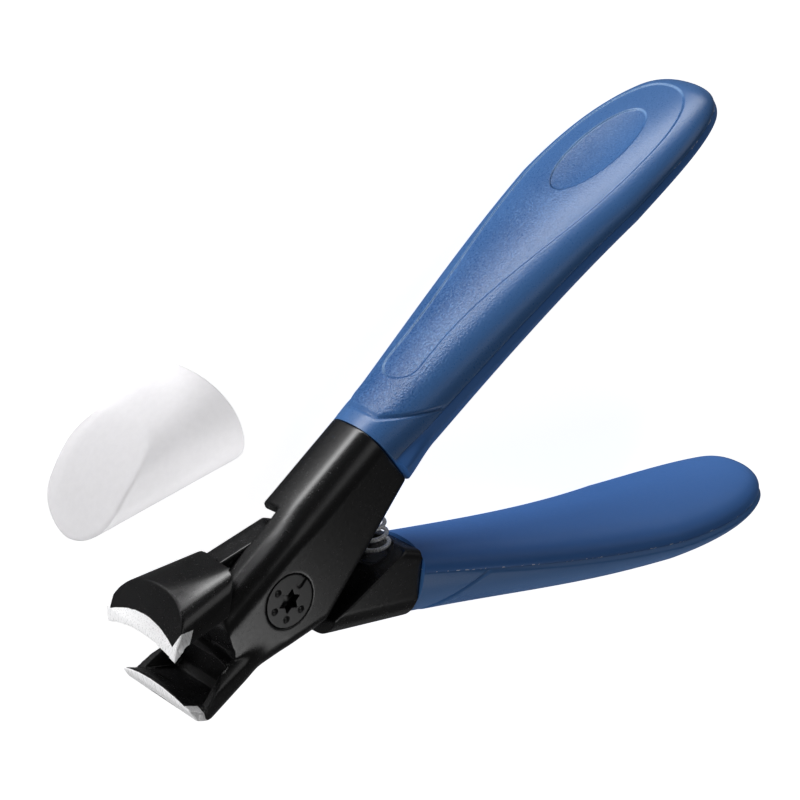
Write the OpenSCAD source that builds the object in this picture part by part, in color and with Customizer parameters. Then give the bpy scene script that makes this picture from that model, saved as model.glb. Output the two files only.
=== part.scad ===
// Heavy duty toenail clipper: two lapped steel levers on a pivot screw, a return spring,
// shell grips on the tangs and a loose blade cap.
// X runs from the jaws to the handles, Y towards the upper handle, Z along the pivot axis.
// The origin is on the pivot axis, in the back face of the rear lever. Sizes are in millimetres.

/* [Levers] */
// Thickness of the two lapped levers together
lever_t = 12.4; // [10:0.1:16]
// Gap between the lapped faces
lap_gap = 0.1; // [0.05:0.01:0.3]
// Angle of each handle from the middle plane, jaws open
handle_angle = 21.9; // [18:0.1:26]
// Distance from the pivot to the front of the grips
seam_s = 28; // [25:0.5:34]
// Height of the lever's outer face over the handle axis
outer_off = 9; // [7.5:0.1:10]
// Depth of the lever's inner face under the handle axis, at the grip
inner_off = 3.6; // [2.5:0.1:4.2]
// Distance of the inner face's line from the pivot
heel_r = 10.2; // [9.5:0.1:11.5]
// Rounding of the corner between the inner face and the jaw arm
heel_round = 4; // [2:0.1:6]
// Distance of the jaw arm's outer face from the pivot
arm_h = 9.1; // [8:0.1:10]
// Radius of the lever's round end beside the other jaw
nose_r = 12.3; // [11.5:0.1:13]
// Gap between a lever's round end and the other jaw
nose_gap = 0.3; // [0.2:0.05:0.6]
// Distance from the pivot to the end of the full width block
stop_s = 10; // [9:0.1:12]
// Clearance at the shoulders, jaws closed
shoulder_gap = 0.4; // [0.3:0.05:0.8]
// Rounding along the lever's outer edges
outer_round = 4.2; // [2:0.1:5]
// Rounding along the jaw arm's outer edges
arm_round = 3; // [0.5:0.1:4]
// Rounding along the lever's inner edges
inner_round = 1.4; // [0.5:0.1:2.5]

/* [Jaws] */
// Width of the jaws
jaw_w = 18; // [15:0.5:22]
// Distance of the cutting edges from the pivot
edge_r = 24.3; // [22:0.1:28]
// Angle between the cutting edges, jaws open
bite_angle = 21.8; // [18:0.1:24]
// Height of the bow in the cutting edges
edge_bow = 1.65; // [0.5:0.05:2.5]
// Thickness of the cutting edges
edge_land = 0.15; // [0.1:0.05:0.3]
// Distance from the pivot to the crown of the jaw's front rim
rim_x = 18; // [17:0.1:19]
// Distance from the pivot to the feet of the jaw's front rim
foot_x = 23.2; // [22:0.1:23.5]
// Width of the jaw between the feet of its rim
rim_w = 19; // [16:0.5:23]
// Height of the upper jaw's crown over the middle plane, at the rim
upper_crown_h = 12.1; // [11:0.1:14]
// Depth of the lower jaw's crown under the middle plane, at the rim
lower_crown_h = 10.9; // [10.5:0.1:13]
// Height of the feet of the rim over the middle plane
side_h = 7; // [6.5:0.1:8]
// Squareness of the jaw's crown
crown_square = 2.2; // [2:0.1:3]
// Distance from the pivot to the jaw's root
root_x = 8; // [6:0.1:9]
// Height of the upper jaw's root over the middle plane
upper_root_h = 10.2; // [9:0.1:11]
// Depth of the lower jaw's root under the middle plane
lower_root_h = 8.8; // [8.5:0.1:10]
// Height of the cutting edge over the foot of its lip
lip_drop = 1.8; // [1:0.1:2.5]
// Length of the lip behind the cutting edge
lip_l = 2.5; // [2:0.1:3.5]
// Depth of the jaw walls' rear end from the middle plane, lower jaw
lower_wall_y = 2.8; // [2.4:0.1:4]
// Depth of the jaw walls' rear end from the middle plane, upper jaw
upper_wall_y = 5; // [3:0.1:6]
// Distance from the pivot to the rear of the mouth
mouth_x = 13.4; // [13:0.1:14.5]
// Thickness of the jaw's side walls
wall = 1.3; // [1:0.1:1.8]
// Depth of the hollow behind the lip, from the middle plane
hollow_y = 8.4; // [7.8:0.1:9]

/* [Pivot] */
// Diameter of the screw head and of the nut head
head_d = 9.1; // [8:0.1:10]
// Thickness of the screw head and of the nut head
head_t = 2; // [1.5:0.1:2.4]
// Radial gap around the heads
head_gap = 0.08; // [0.05:0.01:0.1]
// Diameter of the screw's plain shank and of the nut's sleeve
shank_d = 6; // [5:0.1:6.4]
// Diameter of the screw's thread
thread_d = 4; // [3:0.1:4.5]
// Radial running clearance of the pivot
pivot_fit = 0.05; // [0.02:0.01:0.1]
// Axial gap under the screw head
head_lift = 0.1; // [0.05:0.01:0.2]
// Angle of the notch in the screw head
screw_turn = 32.5; // [0:0.5:90]
// Diameter over the points of the star recess
star_d = 4.2; // [3:0.1:4.6]
// Diameter at the bottoms of the star recess
star_in_d = 2.5; // [1.8:0.1:2.8]
// Depth of the star recess
star_depth = 1.4; // [0.8:0.1:1.6]
// Diameter of the dimples in the screw head
dimple_d = 1.2; // [0.8:0.1:1.4]
// Distance of the dimples from the screw's axis
dimple_r = 3.1; // [2.8:0.1:3.4]
// Depth of the dimples
dimple_depth = 0.35; // [0.2:0.05:0.5]

/* [Spring] */
// Distance from the pivot to the spring's axis
spring_x = 22; // [21:0.1:23.5]
// Outer diameter of the spring
spring_d = 6; // [5:0.1:6.4]
// Diameter of the spring wire
wire_d = 0.75; // [0.6:0.05:0.9]
// Number of turns
spring_turns = 5; // [4:1:6]
// Distance from the middle plane to the floor of each spring pocket
pocket_y = 6.6; // [6:0.1:7.2]
// Radial gap between spring and pocket
pocket_gap = 0.3; // [0.2:0.05:0.5]

/* [Grips] */
// Distance from the pivot to the end of the handles
handle_l = 116.8; // [105:0.1:125]
// Height of the grip's outer line: at the collar
grip_out_a = 9.3; // [9.1:0.1:10]
// Height of the grip's outer line: first guide
grip_out_b = 9.3; // [8:0.1:11]
// Height of the grip's outer line: second guide
grip_out_c = 11.2; // [9:0.1:13]
// Height of the grip's outer line: at the tip
grip_out_d = 1.3; // [0:0.1:3]
// Depth of the grip's inner line: at the collar
grip_in_a = 4.2; // [4:0.1:5]
// Depth of the grip's inner line: first guide
grip_in_b = 2.5; // [1.5:0.1:3.5]
// Depth of the grip's inner line: second guide
grip_in_c = 0.6; // [0:0.1:2]
// Depth of the grip's inner line: at the tip
grip_in_d = 6.4; // [5:0.1:7]
// Half width of the grip at the collar
grip_w_a = 7; // [6.6:0.1:8]
// Half width of the grip at its widest
grip_w_b = 13.1; // [11:0.1:14]
// Distance from the pivot to the grip's widest place
grip_wide_s = 86; // [80:0.5:92]
// Length of the round tip
tip_l = 5; // [3:0.1:8]
// Squareness of the grip's section at the collar
square_a = 2.4; // [2.2:0.1:4]
// Squareness of the grip's section along the paddle
square_b = 2.5; // [2.2:0.1:3]
// Shift of the lower grip's parting line at the collar
part_shift = 2.6; // [0:0.1:3]
// Gap between the two shells of a grip
shell_gap = 0.06; // [0.03:0.01:0.15]
// Length of the tang inside the grip
tang_l = 56; // [40:1:62]
// Width of the tang
tang_w = 7.6; // [5:0.1:9]
// Thickness of the tang
tang_t = 3.6; // [2.5:0.1:4.4]
// Height of the tang's middle over the handle axis
tang_y = 2.6; // [2.2:0.1:3]
// Gap between tang and grip
tang_gap = 0.1; // [0.05:0.05:0.3]

/* [Cap] */
// Length of the cap
cap_l = 27; // [25:0.5:34]
// Half width of the cap at its mouth
cap_w = 11.5; // [10.5:0.1:12.5]
// Half width of the cap at its closed end
cap_w_end = 8.4; // [7.5:0.1:11]
// Height of the cap at its mouth
cap_h = 15.4; // [13:0.1:24]
// Drop of the cap's top towards its closed end
cap_drop = 5.6; // [0:0.1:6.5]
// Length of the sloping front of the cap
cap_nose_l = 10; // [7:0.1:12]
// Radius of the bulge of the sloping front
cap_nose_r = 40; // [16:0.5:60]
// Squareness of the cap's section at its mouth
cap_square = 2.2; // [2:0.1:3]
// Squareness of the cap's top at its closed end
cap_square_top = 5; // [3:0.1:6]
// Squareness of the cap's bottom at its closed end
cap_square_low = 1.8; // [1.6:0.1:3]
// Wall of the cap
cap_wall = 1.2; // [0.8:0.1:1.6]
// Place of the cap's mouth along X
cap_x = -2.6; // [-6:0.1:6]
// Place of the cap's bottom side along Y
cap_y = 27.2; // [24:0.1:36]

/* [Hidden] */

$fn = 48;
far = 60;
eps = 0.01;
half_t = lever_t / 2;
half_w = jaw_w / 2;
head_r = head_d / 2;
shank_r = shank_d / 2;
thread_r = thread_d / 2;
black = [0.09, 0.09, 0.1];
steel = [0.75, 0.76, 0.78];
blue = [0.16, 0.34, 0.62];
blue_in = [0.18, 0.37, 0.66];
cap_white = [0.9, 0.9, 0.91];

// A point in the handle's own directions: s along the handle, y across it
function hp(s, y) = [s * cos(handle_angle) - y * sin(handle_angle),
    s * sin(handle_angle) + y * cos(handle_angle)];

// The inner face runs from the grip's inner corner, clear of the pivot by heel_r
inner_corner = hp(seam_s, -inner_off);
inner_dir = atan2(inner_corner.y, inner_corner.x) + asin(heel_r / norm(inner_corner));
heel_centre = [(heel_r - heel_round - (arm_h - heel_round) * cos(inner_dir)) / sin(inner_dir),
    heel_round - arm_h];
heel_end = heel_centre + heel_round * [sin(inner_dir), -cos(inner_dir)];
// With the jaws closed the other lever's inner face lies along this direction
shoulder_dir = inner_dir - bite_angle;
shoulder_r = heel_r + shoulder_gap;

// Corners of the jaw, seen along the pivot
edge_tip = [-edge_r * cos(bite_angle / 2), -edge_r * sin(bite_angle / 2)];
lip_foot = edge_tip + [lip_l, -lip_drop];
lip_dir = atan2(-lip_drop, lip_l);
bow_r = (half_w * half_w + edge_bow * edge_bow) / (2 * edge_bow);

module front_lever() {
    color(black) translate([0, 0, half_t]) difference() {
        lever(lower_crown_h, lower_root_h, lower_wall_y, true);
        pivot_bore(0);
    }
}

module rear_lever() {
    color(black) translate([0, 0, half_t]) rotate([180, 0, 0]) difference() {
        lever(upper_crown_h, upper_root_h, upper_wall_y, false);
        pivot_bore(head_gap);
    }
}

// One lever, as the front one lies: its jaw below, its handle above, the lapped half at +Z
module lever(crown_h, root_h, wall_y, bow_out) {
    difference() {
        union() {
            lever_body();
            jaw(crown_h, root_h, wall_y, bow_out);
            tang();
        }
        spring_pocket();
    }
}

module lever_body() {
    intersection() {
        union() {
            translate([0, 0, lap_gap / 2]) linear_extrude(half_t - lap_gap / 2) lever_plan();
            translate([0, 0, -half_t]) linear_extrude(half_t + lap_gap) block_plan();
        }
        rotate([0, 0, handle_angle]) edge_prism(outer_off, outer_round);
        rotate([0, 0, inner_dir]) mirror([0, 1, 0]) edge_prism(heel_r, inner_round);
        mirror([0, 1, 0]) edge_prism(arm_h, arm_round);
    }
}

// Outline of the lapped half, from the grip round the pivot to the jaw
module lever_plan() {
    intersection() {
        union() {
            polygon([hp(-far, outer_off), hp(seam_s, outer_off), inner_corner, heel_end, heel_centre,
                [heel_centre.x, -arm_h], [-far, -arm_h]]);
            translate(heel_centre) circle(heel_round);
        }
        union() {
            circle(nose_r, $fn = 96);
            rotate([0, 0, handle_angle]) translate([0, -far / 2]) square([seam_s, far]);
            translate([-nose_r, -arm_h]) square([nose_r, arm_h - lower_wall_y]);
        }
    }
}

// Outline of the full width block, beyond the shoulder that clears the other lever
module block_plan() {
    intersection() {
        lever_plan();
        rotate([0, 0, handle_angle]) translate([stop_s, -far]) square([far, 2 * far]);
        rotate([0, 0, -shoulder_dir]) translate([-far, shoulder_r]) square([2 * far, far]);
    }
}

// A long bar along X whose face at +Y has rounded edges
module edge_prism(face, r) {
    translate([-far, 0, 0]) rotate([90, 0, 90]) linear_extrude(2 * far) {
        translate([-far, -half_t]) square([far + face - r, lever_t]);
        translate([-far, r - half_t]) square([far + face, lever_t - 2 * r]);
        for (side = [-1, 1]) translate([face - r, side * (half_t - r)]) circle(r);
    }
}

// The jaw: a crowned nose with a bowed lip, hollow behind it, clear of the other lever's round end
module jaw(crown_h, root_h, wall_y, bow_out) {
    difference() {
        hull() {
            crown_slab(crown_h);
            root_slab(root_h);
            edge_slab(bow_out);
        }
        difference() {
            mouth_cut(wall_y);
            if (bow_out) lip_barrel(-1, lip_dir);
        }
        if (!bow_out) lip_barrel(1, 0);
        hollow(wall_y);
        translate([0, 0, lap_gap / 2 - far]) cylinder(r = nose_r + nose_gap, h = far, $fn = 96);
    }
}

// Slab at the jaw's rim: a round arch that leans back from its feet to its crown
module crown_slab(crown_h) {
    back = [foot_x - rim_x, crown_h - side_h];
    translate([-foot_x, -side_h, 0]) rotate([0, 0, atan2(back.x, back.y)]) rotate([90, 0, 90])
        linear_extrude(1.5 * wall) polygon([for (a = [0:7.5:180])
            [-norm(back) * power(sin(a), 2 / crown_square), rim_w / 2 * power(cos(a), 2 / crown_square)]]);
}

// Slab at the jaw's root, with the section of the jaw arm
module root_slab(root_h) {
    translate([-root_x, -upper_wall_y - 1, -half_t]) cube([1, 1, lever_t]);
    for (side = [-1, 1]) translate([-root_x, arm_round - root_h, side * (half_t - arm_round)])
        rotate([0, 90, 0]) cylinder(r = arm_round, h = 1, $fn = 32);
}

module edge_slab(bow_out) {
    translate([edge_tip.x, edge_tip.y, 0]) rotate([90, 0, 90]) linear_extrude(edge_land) {
        if (bow_out) intersection() {
            translate([edge_bow - bow_r, 0]) circle(bow_r, $fn = 96);
            translate([-edge_land, -half_w]) square([edge_bow + edge_land, jaw_w]);
        }
        else translate([-edge_land, -half_w]) square([edge_land, jaw_w]);
    }
}

// What lies above the lip and the jaw's walls
module mouth_cut(wall_y) {
    translate([0, 0, -far / 2]) linear_extrude(far) polygon([edge_tip, lip_foot, [-mouth_x, -wall_y],
        [-mouth_x, far], [-far, far], [-far, edge_tip.y]]);
}

// A wide barrel across the edge that gives it its bow
module lip_barrel(side, dir) {
    translate([edge_tip.x, edge_tip.y, 0]) rotate([0, 0, dir])
        translate([0, side * (bow_r - edge_bow), 0]) rotate([0, 90, 0])
            cylinder(r = bow_r, h = 4 * lip_l, center = true, $fn = 128);
}

// The hollow between the lip and the mouth's rear, with walls of one thickness
module hollow(wall_y) {
    front = lip_foot.x + wall / 3;
    rear = mouth_x + wall;
    intersection() {
        linear_extrude(far, center = true) polygon([[front, lip_foot.y], [1.5 * wall - rim_x, -hollow_y],
            [-rear, -hollow_y + (rim_x - rear) / 4], [wall / 2 - rear, -wall_y],
            [wall / 2 - rear, 0], [front, 0]]);
        rotate([90, 0, 0]) linear_extrude(far, center = true) polygon([[-foot_x, rim_w / 2 - wall],
            [-root_x, half_t - wall], [-root_x, wall - half_t], [-foot_x, wall - rim_w / 2]]);
    }
}

module tang() {
    rotate([0, 0, handle_angle]) translate([seam_s - 1, tang_y - tang_t / 2, -tang_w / 2])
        cube([tang_l + 1, tang_t, tang_w]);
}

module spring_pocket() {
    translate([spring_x, pocket_y, 0]) rotate([90, 0, 0])
        cylinder(d = spring_d + 2 * pocket_gap, h = 2 * pocket_y);
}

// The pivot's bore and the seat of a head, as they lie in the front lever
module pivot_bore(gap) {
    translate([0, 0, -far / 2]) cylinder(r = shank_r + pivot_fit, h = far);
    translate([0, 0, half_t - head_t - (gap > 0 ? 0 : head_lift)])
        cylinder(r = head_r + head_gap, h = far);
}

module pivot_screw() {
    color(black) translate([0, 0, half_t]) difference() {
        union() {
            translate([0, 0, half_t - head_t]) cylinder(r = head_r, h = head_t);
            cylinder(r = shank_r, h = half_t - head_t + eps);
            translate([0, 0, head_t - half_t]) cylinder(r = thread_r, h = half_t - head_t + eps);
        }
        translate([0, 0, half_t - star_depth]) linear_extrude(far) star();
        rotate([0, 0, screw_turn]) head_marks();
    }
}

// Four dimples and one notch in the face of the screw head
dimple_ball = (dimple_d * dimple_d / 4 + dimple_depth * dimple_depth) / (2 * dimple_depth);
module head_marks() {
    for (a = [90, 150, 210, 270]) rotate([0, 0, a])
        translate([dimple_r, 0, half_t + dimple_ball - dimple_depth]) sphere(r = dimple_ball);
    translate([dimple_r, -dimple_d / 2, half_t - dimple_depth]) cube([far, dimple_d, far]);
    translate([dimple_r, 0, half_t - dimple_depth]) cylinder(d = dimple_d, h = far);
}

module star() {
    polygon([for (i = [0:11]) (i % 2 == 0 ? star_d : star_in_d) / 2 * [cos(30 * i), sin(30 * i)]]);
}

module pivot_nut() {
    color(black) difference() {
        union() {
            cylinder(r = head_r, h = head_t);
            cylinder(r = shank_r, h = half_t - lap_gap);
        }
        translate([0, 0, head_t]) cylinder(r = thread_r + pivot_fit, h = far);
    }
}

// The spring's wire: straight down at both ends, square to the pocket floors, and a helix between
coil_r = (spring_d - wire_d) / 2;
coil_y = pocket_y - 2 * wire_d;
rings_per_turn = 8;
coil_n = spring_turns * rings_per_turn;
wire_sides = 6;
function coil_angle(i) = 360 * i / rings_per_turn;
function coil_point(i) = [coil_r * cos(coil_angle(i)), -coil_y + 2 * coil_y * i / coil_n,
    coil_r * sin(coil_angle(i))];
// One ring of the wire round point p: a is the turn, tilt 0 square to the helix, 90 square to Y
function wire_ring(p, a, tilt) = [for (k = [0:wire_sides - 1]) let (
    u = wire_d / 2 * cos(360 * k / wire_sides),
    v = wire_d / 2 * sin(360 * k / wire_sides))
    p + [u * cos(a) - v * sin(tilt) * -sin(a), v * cos(tilt), u * sin(a) - v * sin(tilt) * cos(a)]];
function end_point(i, y) = [coil_point(i).x, y, coil_point(i).z];
wire_rings = concat(
    [wire_ring(end_point(0, -pocket_y), coil_angle(0), 90)],
    [wire_ring(end_point(0, -pocket_y + wire_d), coil_angle(0), 90)],
    [for (i = [0:coil_n]) wire_ring(coil_point(i), coil_angle(i), i == 0 || i == coil_n ? 45 : 0)],
    [wire_ring(end_point(coil_n, pocket_y - wire_d), coil_angle(coil_n), 90)],
    [wire_ring(end_point(coil_n, pocket_y), coil_angle(coil_n), 90)]);
coil_gap = min([for (i = [0:coil_n]) for (j = [i + rings_per_turn / 2:1:coil_n])
    norm(coil_point(i) - coil_point(j))]) - wire_d;
echo(least_gap_between_turns = coil_gap);

module return_spring() {
    color(steel) translate([spring_x, 0, half_t]) loft(wire_rings);
}

// A closed solid through rings of equal length
module loft(rings) {
    n = len(rings[0]);
    m = len(rings);
    sides = [for (i = [0:m - 2]) for (k = [0:n - 1]) let (a = i * n + k, b = i * n + (k + 1) % n)
        each [[a, b, b + n], [a, b + n, a + n]]];
    start = [for (k = [1:n - 2]) [0, k + 1, k]];
    end = [for (k = [1:n - 2]) let (o = (m - 1) * n) [o, o + k, o + k + 1]];
    polyhedron(points = [for (r = rings) each r], faces = concat(sides, start, end), convexity = 6);
}

// Lines of the grip along the handle, t from 0 at the collar to 1 at the tip
function bezier(a, b, c, d, t) = a * pow(1 - t, 3) + 3 * b * pow(1 - t, 2) * t
    + 3 * c * (1 - t) * t * t + d * t * t * t;
function grip_t(s) = (s - seam_s) / (handle_l - seam_s);
function grip_out(s) = bezier(grip_out_a, grip_out_b, grip_out_c, grip_out_d, grip_t(s));
function grip_in(s) = -bezier(grip_in_a, grip_in_b, grip_in_c, grip_in_d, grip_t(s));
// The parting line runs along the middle of the grip, and is shifted inwards at the collar
function grip_part(s, shift) = (grip_out(s) + grip_in(s)) / 2 - shift * pow(1 - grip_t(s), 2);
// Past the widest place the outline closes in a blunt round, and the tip itself is round
tip_power = 2.6;
function rise(t) = t * (1.02 - 0.02 * t);
function grip_w(s) = s < grip_wide_s
    ? grip_w_a + (grip_w_b - grip_w_a) * rise((s - seam_s) / (grip_wide_s - seam_s))
    : grip_w_b * pow(1 - pow((s - grip_wide_s) / (handle_l + tip_flat - grip_wide_s), tip_power),
        1 / tip_power);
tip_flat = 0.4;
function tip_scale(s) = s < handle_l - tip_l ? 1
    : sqrt(max(0.02, 1 - pow((s - handle_l + tip_l) / tip_l, 2)));
function squareness(s) = square_b + (square_a - square_b) * pow(1 - min(1, 3 * grip_t(s)), 2);
function power(x, e) = sign(x) * pow(abs(x), e);

// Half of the grip's section at s: side 1 is the outer shell, side -1 the inner one
arc_steps = 20;
function grip_ring(s, side, shift) = let (
    w = grip_w(s),
    part = grip_part(s, shift) + side * shell_gap / 2,
    h = ((side > 0 ? grip_out(s) : grip_in(s)) - part) * tip_scale(s),
    e = 2 / squareness(s))
    [for (k = [0:arc_steps]) let (a = 180 * k / arc_steps)
        [s, part + h * power(sin(a), e), side * w * power(cos(a), e)]];
stations = 20;
function station(i) = let (u = i / stations)
    seam_s + shell_gap + (handle_l - seam_s - shell_gap) * sin(90 * u);

module grip_shell(side, shift) {
    difference() {
        loft([for (i = [0:stations]) grip_ring(station(i), side, shift)]);
        translate([0, tang_y - tang_t / 2 - tang_gap, -tang_w / 2 - tang_gap])
            cube([seam_s + tang_l + tang_gap, tang_t + 2 * tang_gap, tang_w + 2 * tang_gap]);
    }
}

module upper_grip_outer() {
    color(blue) upper_place() grip_shell(1, 0);
}

module upper_grip_inner() {
    color(blue_in) upper_place() grip_shell(-1, 0);
}

module lower_grip_outer() {
    color(blue) lower_place() grip_shell(1, part_shift);
}

module lower_grip_inner() {
    color(blue_in) lower_place() grip_shell(-1, part_shift);
}

module upper_place() {
    translate([0, 0, half_t]) rotate([0, 0, handle_angle]) children();
}

module lower_place() {
    translate([0, 0, half_t]) rotate([180, 0, 0]) rotate([0, 0, handle_angle]) children();
}

// The cap lies on its side, level with the lowest part of the grips, its mouth towards +X
floor_z = half_t - grip_w_b;
cap_steps = 6;
cap_sides = 40;
// The sloping front is part of a big round through the tip and the crest
cap_tip = [-cap_l, 0];
cap_crest = [cap_nose_l - cap_l, cap_h - cap_drop];
cap_reach = norm(cap_crest - cap_tip) / 2;
cap_along = (cap_crest - cap_tip) / (2 * cap_reach);
cap_nose = (cap_tip + cap_crest) / 2
    + sqrt(cap_nose_r * cap_nose_r - cap_reach * cap_reach) * [cap_along.y, -cap_along.x];
function nose_x(y, inset) = cap_nose.x - sqrt(pow(cap_nose_r - inset, 2) - pow(y - cap_nose.y, 2));

// A point of the cap's wall: t runs from the mouth to the tip, a round the section from the top
function cap_point(t, a, inset) = let (
    n = cap_square + ((cos(a) > 0 ? cap_square_top : cap_square_low) - cap_square) * t,
    half = (cap_h - cap_drop * t) / 2)
    [-cap_l * t, half + (half - inset) * power(cos(a), 2 / n),
        (cap_w + (cap_w_end - cap_w) * t - inset) * power(sin(a), 2 / n)];
// Where the wall meets the sloping front, by halving
function cap_end(a, inset, lo = 0, hi = 1, left = 24) = left == 0 ? lo : let (
    mid = (lo + hi) / 2,
    p = cap_point(mid, a, inset))
    p.x > nose_x(p.y, inset) ? cap_end(a, inset, mid, hi, left - 1) : cap_end(a, inset, lo, mid, left - 1);
cap_angles = [for (k = [0:cap_sides - 1]) -360 * k / cap_sides];
function cap_rings(inset) = let (ends = [for (a = cap_angles) cap_end(a, inset)])
    [for (i = [0:cap_steps]) [for (k = [0:cap_sides - 1])
        cap_point(ends[k] * i / cap_steps, cap_angles[k], inset)]];
// A smaller ring on the sloping front, inside the last one
function front_ring(ring) = let (mid = (ring[0] + ring[cap_sides / 2]) / 2)
    [for (p = ring) let (y = mid.y + (p.y - mid.y) / 2)
        [p.x + nose_x(y, 0) - nose_x(p.y, 0), y, p.z / 2]];
function backwards(list) = [for (i = [len(list) - 1:-1:0]) list[i]];

module blade_cap() {
    outer = cap_rings(0);
    inner = cap_rings(cap_wall);
    color(cap_white) translate([cap_x, cap_y, floor_z + cap_w]) loft(concat(
        [front_ring(outer[cap_steps])], backwards(outer), inner, [front_ring(inner[cap_steps])]));
}

front_lever();
rear_lever();
pivot_screw();
pivot_nut();
return_spring();
upper_grip_outer();
upper_grip_inner();
lower_grip_outer();
lower_grip_inner();
blade_cap();
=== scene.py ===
import logging
import math
from dataclasses import dataclass, field, replace
from enum import Enum

import bpy
import numpy as np
from mathutils import Matrix, Vector


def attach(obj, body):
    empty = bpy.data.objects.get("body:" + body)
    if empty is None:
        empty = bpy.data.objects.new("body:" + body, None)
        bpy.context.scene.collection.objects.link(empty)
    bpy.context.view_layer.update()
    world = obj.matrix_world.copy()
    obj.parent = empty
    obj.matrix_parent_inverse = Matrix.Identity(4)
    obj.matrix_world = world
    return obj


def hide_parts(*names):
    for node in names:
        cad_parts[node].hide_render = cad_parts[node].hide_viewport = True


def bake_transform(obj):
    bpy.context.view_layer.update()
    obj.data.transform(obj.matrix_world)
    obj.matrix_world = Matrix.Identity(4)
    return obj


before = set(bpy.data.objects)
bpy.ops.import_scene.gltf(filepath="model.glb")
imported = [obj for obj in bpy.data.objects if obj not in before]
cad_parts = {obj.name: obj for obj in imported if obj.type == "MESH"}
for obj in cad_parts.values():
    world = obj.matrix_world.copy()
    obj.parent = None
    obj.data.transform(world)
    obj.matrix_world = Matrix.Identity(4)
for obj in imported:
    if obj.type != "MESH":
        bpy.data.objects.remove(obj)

Array = np.ndarray
Colour = tuple[float, float, float, float]
Place = tuple[float, float, float]
Socket = bpy.types.NodeSocket
Thing = bpy.types.Object

LOG = logging.getLogger("clipper")
MM = 0.001
# Middle of the levers' thickness over the rear lever's back, in millimetres.
HALF_T = 6.2
# Tilt of each handle from the X axis in the open pose.
HANDLE_ANGLE = math.radians(21.9)
# Where the grips begin along their handles, in millimetres.
COLLAR = 28.0
# Cutting edges: their place along X, their height at the jaw's sides, their bow and half their width, in millimetres.
JAW_EDGE = (-23.86, 4.6)
JAW_BOW = 1.65
JAW_HALF = 9.0
# Points closer than this are one point, in metres.
MERGE = 1e-7
# How far the roughness of a plastic wanders either way.
DULL = 0.05
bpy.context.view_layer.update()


class Side(Enum):
    """Which of the two handles a piece belongs to."""

    UPPER = 1
    LOWER = -1

    def to_frame(self, points: Array) -> Array:
        """Turns points of the handle into points of the frame.

        Args:
            points: rows of along, across and sideways, in millimetres.

        Returns:
            Rows of x, y and z, in metres.
        """
        along, across, aside = points.T
        x = along * math.cos(HANDLE_ANGLE) - across * math.sin(HANDLE_ANGLE)
        y = along * math.sin(HANDLE_ANGLE) + across * math.cos(HANDLE_ANGLE)
        turned = np.stack([x, self.value * y, self.value * aside + HALF_T], axis=1)
        return turned * MM


class Jaw(Enum):
    """Which jaw a lever carries, if any."""

    UPPER = 1
    LOWER = -1
    NONE = 0


class Half(Enum):
    """Outer or inner shell of a grip."""

    OUTER = 1
    INNER = -1


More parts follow.
